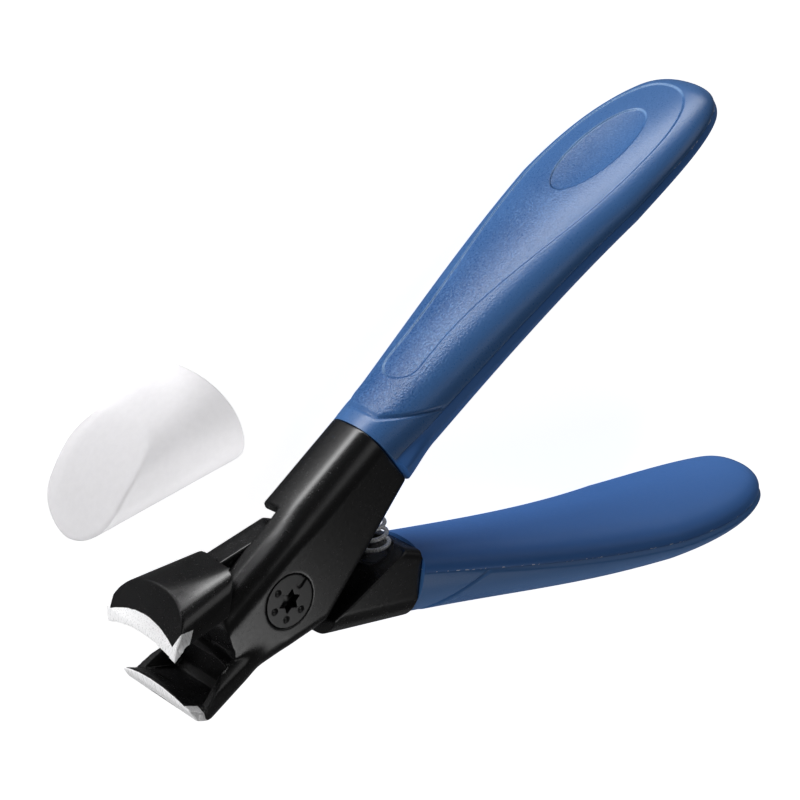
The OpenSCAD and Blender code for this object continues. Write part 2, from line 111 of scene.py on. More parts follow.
class Bench:
    """Working on one object at a time with Blender's own operators."""

    @staticmethod
    def clear() -> None:
        """Deselects everything."""
        bpy.ops.object.select_all(action="DESELECT")

    @staticmethod
    def pick(obj: Thing) -> None:
        """Makes obj the only selected object, and the active one.

        Args:
            obj: the object.
        """
        Bench.clear()
        obj.select_set(True)
        bpy.context.view_layer.objects.active = obj

    @staticmethod
    def name_active(name: str) -> Thing:
        """Names the object that an operator has just added.

        Args:
            name: its new name, and that of its data.

        Returns:
            The object.
        """
        obj = bpy.context.active_object
        obj.name = name
        obj.data.name = name
        return obj

    @staticmethod
    def copy_node(node: str, name: str) -> Thing:
        """Copies a solid of the frame into a new object with its points merged.

        Args:
            node: the solid's name.
            name: the new object's name.

        Returns:
            The new object.
        """
        obj = bpy.data.objects.new(name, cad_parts[node].data.copy())
        obj.data.name = name
        obj.data.materials.clear()
        bpy.context.scene.collection.objects.link(obj)
        Bench.pick(obj)
        bpy.ops.object.mode_set(mode="EDIT")
        bpy.ops.mesh.select_all(action="SELECT")
        bpy.ops.mesh.remove_doubles(threshold=1e-6)
        bpy.ops.object.mode_set(mode="OBJECT")
        return obj

    @staticmethod
    def modify(obj: Thing, kind: str, **settings: object) -> None:
        """Adds a modifier with these settings and applies it.

        Args:
            obj: the object.
            kind: the modifier's type.
            **settings: the modifier's values by name.
        """
        Bench.pick(obj)
        modifier = obj.modifiers.new(kind.title(), kind)
        for key, value in settings.items():
            setattr(modifier, key, value)
        bpy.ops.object.modifier_apply(modifier=modifier.name)

    @staticmethod
    def points(obj: Thing) -> Array:
        """Reads the mesh's points.

        Args:
            obj: the object.

        Returns:
            One row for each point.
        """
        co = np.empty(len(obj.data.vertices) * 3)
        obj.data.vertices.foreach_get("co", co)
        return co.reshape(-1, 3)

    @staticmethod
    def place(obj: Thing, points: Array) -> None:
        """Moves the mesh's points to new places."""
        obj.data.vertices.foreach_set("co", points.astype(np.float32).ravel())
        obj.data.update()

    @staticmethod
    def normals(obj: Thing) -> Array:
        """Reads the normals of the mesh's points.

        Args:
            obj: the object.

        Returns:
            One row for each point.
        """
        vectors = np.empty(len(obj.data.vertices) * 3)
        obj.data.vertices.foreach_get("normal", vectors)
        return vectors.reshape(-1, 3)

    @staticmethod
    def mark(obj: Thing, name: str, values: Array) -> None:
        """Keeps one number for each point, for the materials to read."""
        layer = obj.data.attributes.new(name, "FLOAT", "POINT")
        layer.data.foreach_set("value", values.astype(np.float32))

    @staticmethod
    def face_out(obj: Thing) -> None:
        """Merges double points and turns all faces outwards.

        Args:
            obj: the object.
        """
        Bench.pick(obj)
        bpy.ops.object.mode_set(mode="EDIT")
        bpy.ops.mesh.select_all(action="SELECT")
        bpy.ops.mesh.remove_doubles(threshold=MERGE)
        bpy.ops.mesh.normals_make_consistent(inside=False)
        bpy.ops.object.mode_set(mode="OBJECT")

    @staticmethod
    def smooth(obj: Thing, degrees: float) -> None:
        """Shades obj smooth, with edges sharper than this kept."""
        Bench.pick(obj)
        bpy.ops.object.shade_smooth_by_angle(angle=math.radians(degrees))

    @staticmethod
    def soften(obj: Thing, name: str, weights: Array, rounds: int) -> None:
        """Smooths the mesh by a weight for each point.

        Args:
            obj: the object.
            name: the name of the group of points that keeps the weights.
            weights: from 0 to 1, in a few steps.
            rounds: how many times the smoothing runs.
        """
        group = obj.vertex_groups.new(name=name)
        for level in np.unique(weights):
            group.add(np.nonzero(weights == level)[0].tolist(), float(level), "REPLACE")
        Bench.modify(obj, "SMOOTH", factor=0.5, iterations=rounds, vertex_group=name)

    @staticmethod
    def wear(obj: Thing, material: bpy.types.Material) -> None:
        """Gives obj one material."""
        obj.data.materials.clear()
        obj.data.materials.append(material)


def ease(value: Array, low: float, high: float) -> Array:
    """Smooth step from 0 at low to 1 at high.

    Args:
        value: the values.
        low: where the step starts.
        high: where it ends.

    Returns:
        The step at each value.
    """
    t = np.clip((value - low) / (high - low), 0.0, 1.0)
    return t * t * (3.0 - 2.0 * t)


def bezier(a: float, b: float, c: float, d: float, t: Array) -> Array:
    """Value of a cubic curve with four guides.

    Args:
        a: value at the start.
        b: first guide.
        c: second guide.
        d: value at the end.
        t: places along the curve, from 0 to 1.

    Returns:
        The curve at each place.
    """
    u = 1.0 - t
    return a * u**3 + 3.0 * b * u * u * t + 3.0 * c * u * t * t + d * t**3


def signed_power(value: Array, exponent: Array) -> Array:
    """Power of the size of each value, with its sign kept."""
    return np.sign(value) * np.abs(value) ** exponent


class NodeKit:
    """Shader nodes of one material or group, with the links between them."""

    def __init__(self, tree: bpy.types.NodeTree) -> None:
        """Starts on a node tree."""
        self.tree = tree

    def add(self, kind: str, **inputs: object) -> bpy.types.Node:
        """Adds a node; names in inputs are its properties, or its sockets with _ for a space.

        Args:
            kind: the node's type.
            **inputs: values, or output sockets to link.

        Returns:
            The node.
        """
        node = self.tree.nodes.new(kind)
        for key, value in inputs.items():
            if hasattr(node, key) and not isinstance(value, Socket):
                setattr(node, key, value)
                continue
            self.feed(node, key.replace("_", " "), value)
        return node

    def feed(self, node: bpy.types.Node, socket: str | int, value: object) -> None:
        """Sets a socket's value, or links another node's output to it.

        Args:
            node: the node.
            socket: the socket's name or number.
            value: a value, or an output socket.
        """
        target = node.inputs[socket]
        if isinstance(value, Socket):
            self.tree.links.new(value, target)
        else:
            target.default_value = value

    def math(self, operation: str, a: object, b: object = 0.0, clamp: bool = False) -> Socket:
        """Adds a math node.

        Args:
            operation: what it does.
            a: first value or socket.
            b: second value or socket.
            clamp: keeps the result from 0 to 1.

        Returns:
            Its output.
        """
        node = self.add("ShaderNodeMath", operation=operation, use_clamp=clamp)
        self.feed(node, 0, a)
        self.feed(node, 1, b)
        return node.outputs[0]

    def span(self, value: Socket, low: float, high: float, first: float = 0.0, last: float = 1.0) -> Socket:
        """Maps low to high onto first to last, smoothly.

        Args:
            value: what is mapped.
            low: where the step starts.
            high: where it ends.
            first: the result up to low.
            last: the result from high on.

        Returns:
            The output.
        """
        node = self.add("ShaderNodeMapRange", interpolation_type="SMOOTHSTEP")
        for socket, number in enumerate((value, low, high, first, last)):
            self.feed(node, socket, number)
        return node.outputs[0]

    def blend(self, mask: object, a: object, b: object) -> Socket:
        """Mixes two colours by a mask.

        Args:
            mask: 0 for the first colour and 1 for the second.
            a: first colour or socket.
            b: second colour or socket.

        Returns:
            The output.
        """
        node = self.add("ShaderNodeMix", data_type="RGBA")
        self.feed(node, 0, mask)
        self.feed(node, 6, a)
        self.feed(node, 7, b)
        return node.outputs[2]

    def mix(self, mask: Socket, a: Socket, b: Socket) -> Socket:
        """Mixes two numbers by a mask.

        Args:
            mask: 0 for the first number and 1 for the second.
            a: first number.
            b: second number.

        Returns:
            The output.
        """
        node = self.add("ShaderNodeMix", data_type="FLOAT")
        self.feed(node, 0, mask)
        self.feed(node, 2, a)
        self.feed(node, 3, b)
        return node.outputs[0]

    def group(self, tree: bpy.types.NodeTree, **inputs: float) -> bpy.types.bpy_prop_collection:
        """Adds a node group with these values and returns its outputs."""
        return self.add("ShaderNodeGroup", node_tree=tree, **inputs).outputs

    def attribute(self, name: str) -> Socket:
        """Returns the number that a mesh keeps under this name."""
        return self.add("ShaderNodeAttribute", attribute_name=name).outputs["Fac"]


def rgba(red: int, green: int, blue: int) -> Colour:
    """Turns screen values from 0 to 255 into the colour that the shader takes.

    Args:
        red: the red value.
        green: the green value.
        blue: the blue value.

    Returns:
        The colour, with full cover.
    """
    shares = [value / 255.0 for value in (red, green, blue)]
    linear = [share / 12.92 if share < 11 / 255.0 else ((share + 0.055) / 1.055) ** 2.4 for share in shares]
    return (linear[0], linear[1], linear[2], 1.0)


class Effects:
    """Node groups that several finishes share."""

    _made: dict[str, bpy.types.NodeTree] = {}

    @classmethod
    def _group(
        cls, name: str, inputs: dict[str, float], outputs: tuple[str, ...]
    ) -> tuple[NodeKit, bpy.types.Node, bpy.types.Node]:
        """Starts a node group with number sockets.

        Args:
            name: the group's name.
            inputs: its inputs and their usual values.
            outputs: its outputs.
        """
        tree = bpy.data.node_groups.new(name, "ShaderNodeTree")
        for key, value in inputs.items():
            socket = tree.interface.new_socket(key, in_out="INPUT", socket_type="NodeSocketFloat")
            socket.default_value = value
        for key in outputs:
            tree.interface.new_socket(key, in_out="OUTPUT", socket_type="NodeSocketFloat")
        cls._made[name] = tree
        kit = NodeKit(tree)
        return kit, kit.add("NodeGroupInput"), kit.add("NodeGroupOutput")

    @classmethod
    def grain(cls) -> bpy.types.NodeTree:
        """Fine moulded grain of a given size in grains per metre.

        Returns:
            A group that puts out a height and a tone.
        """
        if "mould_grain" in cls._made:
            return cls._made["mould_grain"]
        kit, start, end = cls._group("mould_grain", {"Density": 3000.0, "Patches": 90.0}, ("Height", "Tone"))
        where = kit.add("ShaderNodeTexCoord").outputs["Object"]
        fine = kit.add("ShaderNodeTexNoise", Vector=where, Scale=start.outputs["Density"], Detail=2.0, Roughness=0.6)
        cells = kit.add("ShaderNodeTexVoronoi", feature="SMOOTH_F1", Vector=where, Scale=start.outputs["Density"])
        patches = kit.add("ShaderNodeTexNoise", Vector=where, Scale=start.outputs["Patches"], Detail=3.0)
        height = kit.math("ADD", fine.outputs["Fac"], kit.math("MULTIPLY", cells.outputs["Distance"], 0.5))
        kit.feed(end, "Height", height)
        broad = kit.math("MULTIPLY", patches.outputs["Fac"], 0.25)
        kit.feed(end, "Tone", kit.math("ADD", broad, kit.math("MULTIPLY", fine.outputs["Fac"], 0.75)))
        return cls._made["mould_grain"]

    @classmethod
    def strokes(cls) -> bpy.types.NodeTree:
        """Grinding marks that run along one direction.

        Returns:
            A group that puts out a height and a tone.
        """
        if "grind_strokes" in cls._made:
            return cls._made["grind_strokes"]
        kit, start, end = cls._group("grind_strokes", {"Density": 6000.0, "Stretch": 0.06}, ("Height", "Tone"))
        where = kit.add("ShaderNodeTexCoord").outputs["Object"]
        split = kit.add("ShaderNodeSeparateXYZ", Vector=where)
        pressed = kit.math("MULTIPLY", split.outputs["Y"], start.outputs["Stretch"])
        short = kit.add("ShaderNodeCombineXYZ", X=split.outputs["X"], Y=pressed, Z=split.outputs["Z"])
        lines = kit.add("ShaderNodeTexNoise", Vector=short.outputs[0], Scale=start.outputs["Density"], Detail=3.0)
        kit.feed(end, "Height", lines.outputs["Fac"])
        kit.feed(end, "Tone", kit.span(lines.outputs["Fac"], 0.3, 0.7))
        return cls._made["grind_strokes"]


def new_material(name: str) -> tuple[bpy.types.Material, NodeKit, bpy.types.Node]:
    """Starts a material with only its output.

    Args:
        name: the material's name.

    Returns:
        The material, its node kit and its output node.
    """
    material = bpy.data.materials.new(name)
    material.use_nodes = True
    material.node_tree.nodes.clear()
    kit = NodeKit(material.node_tree)
    return material, kit, kit.add("ShaderNodeOutputMaterial")


@dataclass(frozen=True)
class GripPlastic:
    """Blue moulded plastic, grained or smooth, with a pale flash along its parting line."""

    name: str
    color: Colour
    light: Colour
    roughness: float
    density: float
    bump: float
    painted_glint: float
    flash: float
    gloss: float
    step: float = 0.0
    accent: float = 0.0

    def material(self) -> bpy.types.Material:
        """Builds the plastic's grain with painted glints, a painted highlight and painted shade along its moulded
        lines, flash and moulded steps.

        Returns:
            The material.
        """
        material, kit, output = new_material(self.name)
        grain = kit.group(Effects.grain(), Density=self.density)
        face = kit.attribute("face")
        fine = kit.math("SUBTRACT", kit.span(grain["Tone"], 0.44, 0.74), 0.3)
        base = kit.blend(kit.math("ADD", kit.math("MULTIPLY", fine, face), 0.3), self.color, self.light)
        # Light specks on the grain's peaks, on the back only: painted glints.
        painted_glint = kit.math("MULTIPLY", face, self.painted_glint)
        painted_glint = kit.math("MULTIPLY", kit.span(grain["Height"], 0.7, 1.0), painted_glint)
        base = kit.blend(painted_glint, base, rgba(120, 155, 205))
        # Painted highlight on one side of the moulded loop and dish lines, painted shade on the other.
        painted_line_light = kit.attribute("painted_line_light")
        base = kit.blend(kit.math("MULTIPLY", painted_line_light, self.accent, clamp=True), base, rgba(150, 188, 230))
        base = kit.blend(kit.math("MULTIPLY", painted_line_light, -self.accent, clamp=True), base, rgba(26, 50, 92))
        where = kit.add("ShaderNodeTexCoord").outputs["Object"]
        ragged = kit.add("ShaderNodeTexNoise", Vector=where, Scale=700.0, Detail=4.0)
        edge = kit.math("MULTIPLY", kit.span(ragged.outputs["Fac"], 0.42, 0.66), self.flash)
        seam = kit.math("LESS_THAN", kit.attribute("seam"), edge)
        base = kit.blend(kit.math("MULTIPLY", seam, 0.7), base, rgba(205, 216, 232))
        steps = [kit.span(kit.attribute(line), -0.2, 0.2, 0.0, -self.step) for line in ("loop", "dish")]
        grainy = kit.math("ADD", kit.math("MULTIPLY", face, 0.85 * self.bump), 0.15 * self.bump)
        height = kit.math("ADD", kit.math("MULTIPLY", grain["Height"], grainy), kit.math("ADD", *steps))
        bump = kit.add("ShaderNodeBump", Strength=1.0, Distance=0.001, Height=height)
        shader = kit.add("ShaderNodeBsdfPrincipled")
        kit.feed(shader, "Base Color", base)
        rough = kit.span(grain["Tone"], 0.2, 0.8, self.roughness - DULL, self.roughness + DULL)
        kit.feed(shader, "Roughness", rough)
        kit.feed(shader, "Normal", bump.outputs[0])
        kit.feed(shader, "Specular IOR Level", self.gloss)
        kit.feed(output, "Surface", shader.outputs[0])
        return material


@dataclass(frozen=True)
class CoatedSteel:
    """Black satin coat on forged steel, with the bright ground faces of one jaw, in millimetres."""

    name: str
    coat: Colour
    worn: Colour
    steel: Colour
    roughness: float
    ground_roughness: float
    jaw: Jaw = Jaw.NONE
    strip: float = 2.25
    foot: tuple[float, float] = (-23.2, 7.0)
    face: tuple[float, float] = (0.7, 0.714)
    slope: float = 1.4
    front_depth: float = 3.0
    corner_depth: float = 2.2
    corner_aside: float = 7.9
    corner_height: float = 3.0
    rim_aside: float = 8.1
    rim_height: float = 0.5
    rim_depth: float = 7.0
    top_aside: float = 8.35
    top_flare: float = 0.4
    top_height: float = 2.1
    top_fall: float = 0.25

    def _ground(self, kit: NodeKit) -> Socket | float:
        """Depth inside the ground faces, below 0 outside.

        Args:
            kit: the material's nodes.

        Returns:
            The depth in millimetres.
        """
        if self.jaw is Jaw.NONE:
            return -1.0
        where = kit.add("ShaderNodeTexCoord")
        split = kit.add("ShaderNodeSeparateXYZ", Vector=where.outputs["Object"])
        x, y, z = (kit.math("MULTIPLY", split.outputs[axis], 1.0 / MM) for axis in range(3))
        aside = kit.math("ABSOLUTE", kit.math("SUBTRACT", z, HALF_T))
        flat = kit.math("POWER", kit.math("DIVIDE", aside, JAW_HALF), 2.0)
        crown = kit.math("MULTIPLY", kit.math("SUBTRACT", 1.0, flat, clamp=True), JAW_BOW)
        edge = kit.math("ADD", crown, self.jaw.value * JAW_EDGE[1])
        height = kit.math("MULTIPLY", kit.math("SUBTRACT", y, edge), self.jaw.value)
        depth = kit.math("SUBTRACT", x, JAW_EDGE[0])
        if self.jaw is Jaw.LOWER:
            slope = kit.math("SUBTRACT", kit.math("ADD", height, 0.05), kit.math("MULTIPLY", depth, self.slope))
            front = kit.math("MINIMUM", slope, kit.math("SUBTRACT", self.strip + 0.15, height))
            corner = kit.math("SUBTRACT", self.corner_depth, depth)
            corner = kit.math("MINIMUM", corner, kit.math("SUBTRACT", aside, self.corner_aside))
            corner = kit.math("MINIMUM", corner, kit.math("SUBTRACT", self.corner_height, height))
            far = kit.math("SUBTRACT", HALF_T - self.rim_aside, z)
            rim = kit.math("MINIMUM", far, kit.math("SUBTRACT", self.rim_height, height))
            rim = kit.math("MINIMUM", rim, kit.math("SUBTRACT", self.rim_depth, depth))
            return kit.math("MAXIMUM", kit.math("MAXIMUM", front, rim), corner)
        turned = kit.add("ShaderNodeSeparateXYZ", Vector=where.outputs["Normal"])
        facing = kit.math("MULTIPLY", turned.outputs["X"], -3.0)
        front = kit.math("SUBTRACT", self.strip, height)
        front = kit.math("MINIMUM", front, kit.math("SUBTRACT", self.front_depth, depth))
        front = kit.math("MINIMUM", front, facing)
        above = kit.math("SUBTRACT", y, self.foot[1])
        back = kit.math("MULTIPLY", kit.math("SUBTRACT", x, self.foot[0]), self.face[0])
        behind = kit.math("SUBTRACT", back, kit.math("MULTIPLY", above, self.face[1]))
        spread = kit.math("MULTIPLY", kit.math("MAXIMUM", above, 0.0), self.top_flare)
        corner = kit.math("SUBTRACT", aside, kit.math("ADD", spread, self.top_aside))
        corner = kit.math("MINIMUM", corner, kit.math("SUBTRACT", self.corner_depth, behind))
        top = kit.math("SUBTRACT", self.top_height, above)
        top = kit.math("SUBTRACT", top, kit.math("MULTIPLY", behind, self.top_fall))
        return kit.math("MAXIMUM", front, kit.math("MINIMUM", corner, top))

    def material(self) -> bpy.types.Material:
        """Builds the coat and the bare ground faces.

        Returns:
            The material.
        """
        material, kit, output = new_material(self.name)
        grain = kit.group(Effects.grain(), Density=1600.0)
        strokes = kit.group(Effects.strokes())
        where = kit.add("ShaderNodeTexCoord").outputs["Object"]
        ragged = kit.add("ShaderNodeTexNoise", Vector=where, Scale=900.0, Detail=3.0)
        wander = kit.math("MULTIPLY", kit.math("SUBTRACT", ragged.outputs["Fac"], 0.5), 0.2)
        bare = kit.span(kit.math("ADD", self._ground(kit), wander), -0.04, 0.04)
        coat = kit.blend(kit.span(grain["Tone"], 0.3, 0.7), self.coat, self.worn)
        # Bare ground steel: its near-white colour with little metal is partly a painted reflection of a bright
        # surround.
        steel = kit.blend(strokes["Tone"], self.steel, rgba(250, 250, 251))
        coat_rough = kit.span(grain["Tone"], 0.25, 0.75, self.roughness - 0.02, self.roughness + 0.03)
        bare_rough = kit.span(strokes["Tone"], 0.0, 1.0, self.ground_roughness, self.ground_roughness + 0.12)
        height = kit.mix(bare, grain["Height"], strokes["Height"])
        bump = kit.add("ShaderNodeBump", Strength=0.03, Distance=0.00003, Height=height)
        shader = kit.add("ShaderNodeBsdfPrincipled")
        kit.feed(shader, "Base Color", kit.blend(bare, coat, steel))
        kit.feed(shader, "Metallic", kit.math("MULTIPLY", bare, 0.15))
        kit.feed(shader, "Specular IOR Level", 0.8)
        kit.feed(shader, "Roughness", kit.mix(bare, coat_rough, bare_rough))
        kit.feed(shader, "Normal", bump.outputs[0])
        kit.feed(output, "Surface", shader.outputs[0])
        return material


@dataclass(frozen=True)
class BrightWire:
    """Drawn spring wire with fine lines and slightly dull patches."""

    name: str
    color: Colour
    roughness: float

    def material(self) -> bpy.types.Material:
        """Builds the wire's fine drawn lines.

        Returns:
            The material.
        """
        material, kit, output = new_material(self.name)
        strokes = kit.group(Effects.strokes(), Density=5000.0)
        bump = kit.add("ShaderNodeBump", Strength=0.05, Distance=0.00002, Height=strokes["Height"])
        shader = kit.add("ShaderNodeBsdfPrincipled", Normal=bump.outputs[0])
        # Near-white wire with little metal: bright steel, its brightness partly a painted reflection.
        kit.feed(shader, "Base Color", kit.blend(strokes["Tone"], self.color, rgba(238, 238, 240)))
        kit.feed(shader, "Metallic", 0.3)
        rough = kit.span(strokes["Tone"], 0.0, 1.0, self.roughness, self.roughness + 0.1)
        kit.feed(shader, "Roughness", rough)
        kit.feed(output, "Surface", shader.outputs[0])
        return material


@dataclass(frozen=True)
class MilkyPlastic:
    """Thin milky plastic that lets some light through."""

    name: str
    color: Colour
    pale: Colour
    roughness: float

    def material(self) -> bpy.types.Material:
        """Builds the cap's faintly clouded plastic.

        Returns:
            The material.
        """
        material, kit, output = new_material(self.name)
        grain = kit.group(Effects.grain(), Density=900.0, Patches=60.0)
        bump = kit.add("ShaderNodeBump", Strength=0.08, Distance=0.00005, Height=grain["Height"])
        shader = kit.add("ShaderNodeBsdfPrincipled")
        base = kit.blend(kit.span(grain["Tone"], 0.3, 0.7), self.color, self.pale)
        kit.feed(shader, "Base Color", base)
        rough = kit.span(grain["Tone"], 0.2, 0.8, self.roughness - DULL, self.roughness + DULL)
        kit.feed(shader, "Roughness", rough)
        kit.feed(shader, "Transmission Weight", 0.4)
        kit.feed(shader, "IOR", 1.12)
        kit.feed(shader, "Normal", bump.outputs[0])
        kit.feed(output, "Surface", shader.outputs[0])
        return material


@dataclass(frozen=True)
class GripForm:
    """Lines of a grip along its handle, in millimetres from the pivot and the handle's axis."""

    seam: float = 28.06
    tip: float = 116.8
    outer: tuple[float, float, float, float] = (9.3, 9.3, 11.2, 1.3)
    inner: tuple[float, float, float, float] = (-4.2, -2.5, -0.6, -6.4)
    width_collar: float = 7.0
    width_most: float = 13.1
    widest: float = 86.0
    tip_length: float = 5.0
    tip_square: float = 2.6
    square_collar: float = 2.2
    square_paddle: float = 2.15
    gap: float = -0.03

    def place(self, s: Array) -> Array:
        """Share of the way from the collar to the tip."""
        return np.clip((s - COLLAR) / (self.tip - COLLAR), 0.0, 1.0)

    def outside(self, s: Array) -> Array:
        """Height of the outer line."""
        return bezier(*self.outer, self.place(s))

    def inside(self, s: Array) -> Array:
        """Height of the inner line."""
        return bezier(*self.inner, self.place(s))

    def parting(self, s: Array, shift: float) -> Array:
        """Height of the parting line, shifted inwards at the collar."""
        return (self.outside(s) + self.inside(s)) / 2.0 - shift * (1.0 - self.place(s)) ** 2

    def half_width(self, s: Array) -> Array:
        """Half of the grip's width.

        Args:
            s: places along the handle.

        Returns:
            The half width at each place.
        """
        t = np.clip((s - COLLAR) / (self.widest - COLLAR), 0.0, 1.0)
        rising = self.width_collar + (self.width_most - self.width_collar) * t * (1.02 - 0.02 * t)
        past = np.clip((s - self.widest) / (self.tip - self.widest), 0.0, 1.0)
        falling = self.width_most * (1.0 - past**self.tip_square) ** (1.0 / self.tip_square)
        return np.where(s < self.widest, rising, falling)

    def tip_share(self, s: Array) -> Array:
        """How much of the grip's thickness is left towards the round tip."""
        past = np.clip((s - self.tip + self.tip_length) / self.tip_length, 0.0, 1.0)
        return np.sqrt(1.0 - past**2)

    def squareness(self, s: Array) -> Array:
        """Exponent of the section's round."""
        near = 1.0 - np.minimum(1.0, 3.0 * self.place(s))
        return self.square_paddle + (self.square_collar - self.square_paddle) * near**2


@dataclass
class GripShell:
    """One shell of a handle's grip."""

    node: str
    body: str
    side: Side
    half: Half
    shift: float
    finish: GripPlastic
    slot: str
    form: GripForm = field(default_factory=GripForm)
    sink: float = 0.0
    lift: float = 0.45
    fill: float = 0.0
    flash_from: float = 0.0
    rings: int = 440
    segments: int = 208
    arc_share: float = 0.86
    end_share: float = 0.025
    tail: float = 6.0
    tail_at: float = 0.9
    tail_share: float = 0.1
    groove_deep: float = 0.07
    groove_wide: float = 0.22
    crease_at: float = 31.1
    crease_top: float = 8.5
    crease_lean: float = 1.5
    crease_deep: float = 0.3
    crease_wide: float = 0.35
    body_rise: float = 0.12
    loop_deep: float = 0.22
    rim_deep: float = 0.14

    def build(self) -> Thing:
        """Shapes a ball into the shell and works in its collar, loop and dish.

        Returns:
            The shell.
        """
        Bench.clear()
        bpy.ops.mesh.primitive_uv_sphere_add(segments=self.segments, ring_count=self.rings, radius=1.0)
        shell = Bench.name_active(self.node + "_shell")
        unit = Bench.points(shell)
        run = np.arccos(np.clip(unit[:, 2], -1.0, 1.0)) / math.pi
        turn = (np.arctan2(unit[:, 1], unit[:, 0]) / (2.0 * math.pi)) % 1.0
        along, across, aside, seam = self._surface(run, turn)
        Bench.place(shell, np.stack([along, across, aside], axis=1))
        Bench.face_out(shell)
        loop, dish = self._lines(along, aside, turn)
        depth = self._relief(along, across, aside, seam, turn, loop, dish)
        Bench.place(shell, Bench.points(shell) + Bench.normals(shell) * depth[:, None])
        Bench.mark(shell, "seam", np.where((turn <= self.arc_share) & (along > self.flash_from), seam, 9.0))
        Bench.mark(shell, "loop", loop)
        Bench.mark(shell, "dish", dish)
        # Painted highlight and painted shade along the moulded lines, kept for the material.
        Bench.mark(shell, "painted_line_light", self._accents(along, aside, loop, dish))
        Bench.mark(shell, "face", ease(seam, 3.5, 7.0) * ease(along - self._crease(across), 0.0, 1.5))
        Bench.place(shell, self.side.to_frame(Bench.points(shell)))
        Bench.face_out(shell)
        Bench.smooth(shell, 40.0)
        return shell

    def _surface(self, run: Array, turn: Array) -> tuple[Array, ...]:
        """Place of each point on the shell.

        Args:
            run: from 0 at the middle of the collar's end face to 1 at the tip.
            turn: once round the section, the outside first and then the parting face.

        Returns:
            Along, across and aside, and the height over the parting line.
        """
        form = self.form
        way = np.clip((run - self.end_share) / (1.0 - self.end_share), 0.0, 1.0)
        length = form.tip - form.seam
        straight = form.seam + (length - self.tail) * way / self.tail_at
        bend = math.pi / 2.0 * np.clip((way - self.tail_at) / self.tail_share, 0.0, 1.0)
        rounded = form.tip - self.tail * (1.0 - np.sin(bend))
        s = np.where(way < self.tail_at, straight, rounded)
        part = form.parting(s, self.shift) + self.half.value * form.gap / 2.0
        crown = form.outside(s) if self.half is Half.OUTER else form.inside(s)
        height = (crown - part) * form.tip_share(s)
        width = form.half_width(s)
        power = 2.0 / form.squareness(s)
        arc = math.pi * np.clip(turn / self.arc_share, 0.0, 1.0)
        chord = np.clip((turn - self.arc_share) / (1.0 - self.arc_share), 0.0, 1.0)
        rise = np.where(turn <= self.arc_share, np.abs(np.sin(arc)) ** power, 0.0)
        reach = np.where(turn <= self.arc_share, signed_power(np.cos(arc), power), 2.0 * chord - 1.0)
        over = height * rise
        groove = self.groove_deep * np.exp(-((over / self.groove_wide) ** 2)) * form.tip_share(s) * ease(s, 36.0, 40.0)
        aside = self.half.value * reach * np.maximum(width - groove, 0.0)
        share = np.clip(run / self.end_share, 0.0, 1.0)
        middle = part + height * 0.4
        across = middle + (part + over - middle) * share - self.sink * ease(s, 29.0, 37.0)
        return s, across, aside * share, np.abs(over)

    def _lines(self, along: Array, aside: Array, turn: Array) -> tuple[Array, Array]:
        """Depth of points inside the loop and inside the dish, below 0 outside.

        Args:
            along: place along the handle.
            aside: place across the width.
            turn: once round the section.

        Returns:
            The depths in the loop and in the dish, in millimetres.
        """
        if self.half is Half.INNER:
            none = np.full(len(along), -9.0)
            return none, none
        back = turn <= self.arc_share
        return np.where(back, Loop().depth(along, aside), -9.0), np.where(back, Dish().depth(along, aside), -9.0)

    def _crease(self, across: Array) -> Array:
        """Place of the collar's lower edge along the handle."""
        return self.crease_at + np.maximum(0.0, self.crease_top - across) * self.crease_lean

    def _accents(self, along: Array, aside: Array, loop: Array, dish: Array) -> Array:
        """Accents of the photograph's light along the moulded lines, bright above 0 and dark below.

        Args:
            along: place along the handle.
            aside: place across the width.
            loop: depth inside the loop.
            dish: depth inside the dish.

        Returns:
            A value from -1 to 1 for each point.
        """
        side = np.clip(-aside / 3.0 + np.maximum(along - 100.0, 0.0) / 6.0, -1.0, 1.0)
        bowl = np.clip((Dish().at[1] - aside) / 2.5 + (along - Dish().at[0]) / 7.0, -1.0, 1.0)
        return side * (1.0 - ease(np.abs(loop), 0.05, 0.28)) + bowl * (1.0 - ease(np.abs(dish), 0.05, 0.26))

    def _relief(
        self, along: Array, across: Array, aside: Array, seam: Array, turn: Array, loop: Array, dish: Array
    ) -> Array:
        """Height of the moulded detail at each point, in millimetres.

        Args:
            along: place along the handle.
            across: height over the handle's axis.
            aside: place across the width.
            seam: height over the parting line.
            turn: once round the section.
            loop: depth inside the loop.
            dish: depth inside the dish.

        Returns:
            The height, out of the surface.
        """
        if self.half is Half.INNER:
            swell = self.fill * (1.0 + 3.0 * (1.0 - ease(along, COLLAR, 36.0)))
            free = (turn <= self.arc_share) & (along > self.form.seam + 0.02)
            return np.where(free, swell * ease(seam, 0.2, 2.0), 0.0)
        crease = self._crease(across)
        furrow = self.crease_deep * np.exp(-(((along - crease) / self.crease_wide) ** 2))
        body = self.lift * ease(along, 33.0, 75.0) - furrow
        body += self.body_rise * ease(along - crease, 0.1, 1.2)
        fade = ease(seam, 0.2, 1.2) * ease(116.0 - along, 0.0, 4.0) * (along > self.form.seam + 0.5)
        step = -self.loop_deep * ease(loop, -0.25, 0.25)
        bowl = Dish().bowl(along, aside) - self.rim_deep * ease(dish, -0.2, 0.2)
        relief = body * ease(seam, 0.1, 0.8) + (step + bowl) * (across > 0.0) * fade
        return np.where(turn <= self.arc_share, relief, 0.0)

    def dress(self, shell: Thing) -> None:
        """Gives the shell its plastic and its place in the frame.

        Args:
            shell: the shell.
        """
        Bench.wear(shell, self.finish.material())
        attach(shell, self.body)
        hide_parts(self.node)


